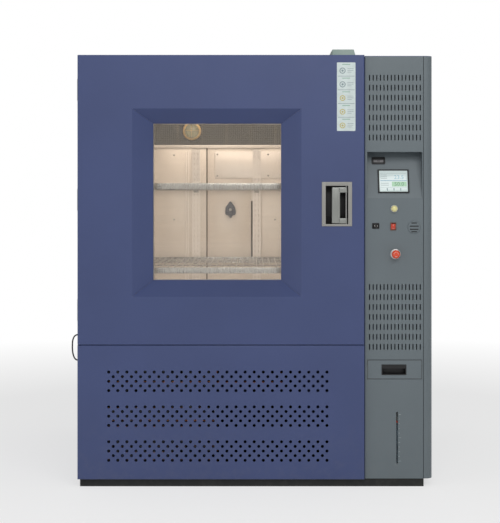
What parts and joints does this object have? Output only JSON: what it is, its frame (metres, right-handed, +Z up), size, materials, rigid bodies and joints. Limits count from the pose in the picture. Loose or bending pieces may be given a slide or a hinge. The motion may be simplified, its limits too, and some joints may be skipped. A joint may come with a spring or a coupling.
{
  "type": "environmental test chamber",
  "caption": "Free-standing climatic test chamber: glazed insulated door over a perforated machine room panel, with a control column on the right.",
  "frame": {"origin": "on the floor under the middle of the body, at the crossing of the base frame", "axes": "+Z up, the front faces -Y, the control column is at +X"},
  "size_m": [1.504, 1.434, 1.832],
  "materials": {
    "blue_paint": "satin powder coat",
    "grey_paint": "fine-textured powder coat",
    "black_paint": "satin paint",
    "cover_paint": "satin paint",
    "galvanised": "plain zinc-coated sheet",
    "stainless": "brushed stainless steel",
    "bright_steel": "ground steel",
    "aluminium": "mill finish",
    "copper": "drawn copper",
    "foam": "rigid polyurethane foam",
    "glass": "clear safety glass",
    "gauge_clear": "clear tube",
    "seal_rubber": "silicone rubber",
    "plug_rubber": "silicone rubber",
    "cable_black": "rubber sheath",
    "handle_frame": "pale satin",
    "black_plastic": "fine grain",
    "grey_plastic": "fine grain",
    "white_plastic": "smooth",
    "screen": "lit display",
    "lamp_yellow": "translucent lens",
    "red_plastic": "smooth",
    "lamp_glass": "frosted"
  },
  "bodies": {
    "cabinet": {"base_frame": "black_paint", "side_and_rear_panels": "blue_paint", "roof_panels": "blue_paint", "column_side_panel": "grey_paint", "lower_front_panel": "blue_paint", "chamber_casing": "galvanised", "chamber_insulation": "foam", "chamber_liner": "stainless", "latch_keeper": "bright_steel", "air_baffle": "stainless", "air_outlet_grille": "bright_steel", "heater_coil": "bright_steel", "evaporator_coil": "aluminium", "circulation_motor": "grey_paint", "shelf_standards": "stainless", "shelves": "stainless", "chamber_lamp": "lamp_glass", "air_probe": "grey_plastic", "port_sleeve": "stainless", "cabinet_hinges": "bright_steel", "compressor": "black_paint", "condenser_coil": "aluminium", "condenser_shroud": "galvanised", "refrigerant_pipes": "copper", "column_front_panel": "grey_paint", "control_recess": "grey_paint", "display_bezel": "black_plastic", "touch_screen": "screen", "data_socket": "grey_plastic", "pilot_lamp": "lamp_yellow", "switch_frames": "black_plastic", "buzzer_grille": "grey_paint", "estop_collar": "grey_plastic", "electrical_panel": "galvanised", "drawer_sleeve": "galvanised", "water_tank": "white_plastic", "level_gauge": "gauge_clear", "cable_cover": "cover_paint", "cable_loop": "cable_black", "cable_glands": "black_plastic"},
    "door": {"door_shell": "blue_paint", "window_bevel": "blue_paint", "window_panes": "glass", "window_spacers": "aluminium", "door_insulation": "foam", "door_inner_skin": "stainless", "door_gasket": "seal_rubber", "handle_pocket": "handle_frame", "door_hinge_leaves": "bright_steel"},
    "handle_lever": {"handle_lever": "handle_frame"},
    "latch_bolt": {"latch_bolt": "bright_steel"},
    "circulation_fan": {"circulation_fan": "aluminium"},
    "condenser_fan": {"condenser_fan": "aluminium"},
    "port_plug": {"port_plug": "plug_rubber"},
    "power_rocker": {"power_rocker": "red_plastic"},
    "lamp_rocker": {"lamp_rocker": "black_plastic"},
    "estop_stem": {"estop_stem": "bright_steel"},
    "estop_head": {"estop_head": "red_plastic"},
    "water_drawer": {"water_drawer": "grey_paint", "drawer_pull": "black_plastic"}
  },
  "joints": [
    {"name": "door_swing", "type": "hinge", "parent": "cabinet", "child": "door", "pos_m": [-0.737, -0.601, 1.18], "axis": [0, 0, -1], "range_deg": [0, 110]},
    {"name": "handle_turn", "type": "hinge", "parent": "door", "child": "handle_lever", "pos_m": [0.374, -0.691, 1.158], "axis": [0, 0, 1], "range_deg": [0, 30], "stiffness_Nm_per_rad": 0.5},
    {"name": "latch_slide", "type": "slide", "parent": "door", "child": "latch_bolt", "axis": [-1, 0, 0], "range_m": [0, 0.012]},
    {"name": "circulation_fan_spin", "type": "hinge", "parent": "cabinet", "child": "circulation_fan", "pos_m": [-0.14, 0.45, 1.29], "axis": [0, 1, 0], "continuous": true},
    {"name": "condenser_fan_spin", "type": "hinge", "parent": "cabinet", "child": "condenser_fan", "pos_m": [-0.4, -0.56, 0.3], "axis": [0, 1, 0], "continuous": true},
    {"name": "port_plug_pull", "type": "slide", "parent": "cabinet", "child": "port_plug", "axis": [-1, 0, 0], "range_m": [0, 0.06]},
    {"name": "power_rock", "type": "hinge", "parent": "cabinet", "child": "power_rocker", "pos_m": [0.568, -0.673, 1.071], "axis": [-1, 0, 0], "range_deg": [0, 14]},
    {"name": "lamp_rock", "type": "hinge", "parent": "cabinet", "child": "lamp_rocker", "pos_m": [0.496, -0.673, 1.073], "axis": [0, 0, -1], "range_deg": [0, 14]},
    {"name": "estop_push", "type": "slide", "parent": "cabinet", "child": "estop_stem", "axis": [0, 1, 0], "range_m": [0, 0.005], "stiffness_N_per_m": 400},
    {"name": "estop_twist", "type": "hinge", "parent": "estop_stem", "child": "estop_head", "pos_m": [0.577, -0.7, 0.957], "axis": [0, 1, 0], "range_deg": [0, 30], "stiffness_Nm_per_rad": 0.05},
    {"name": "drawer_slide", "type": "slide", "parent": "cabinet", "child": "water_drawer", "axis": [0, -1, 0], "range_m": [0, 0.2]}
  ],
  "couplings": [
    {"joint": "latch_slide", "follows": "handle_turn", "m_per_rad": 0.0229}
  ]
}
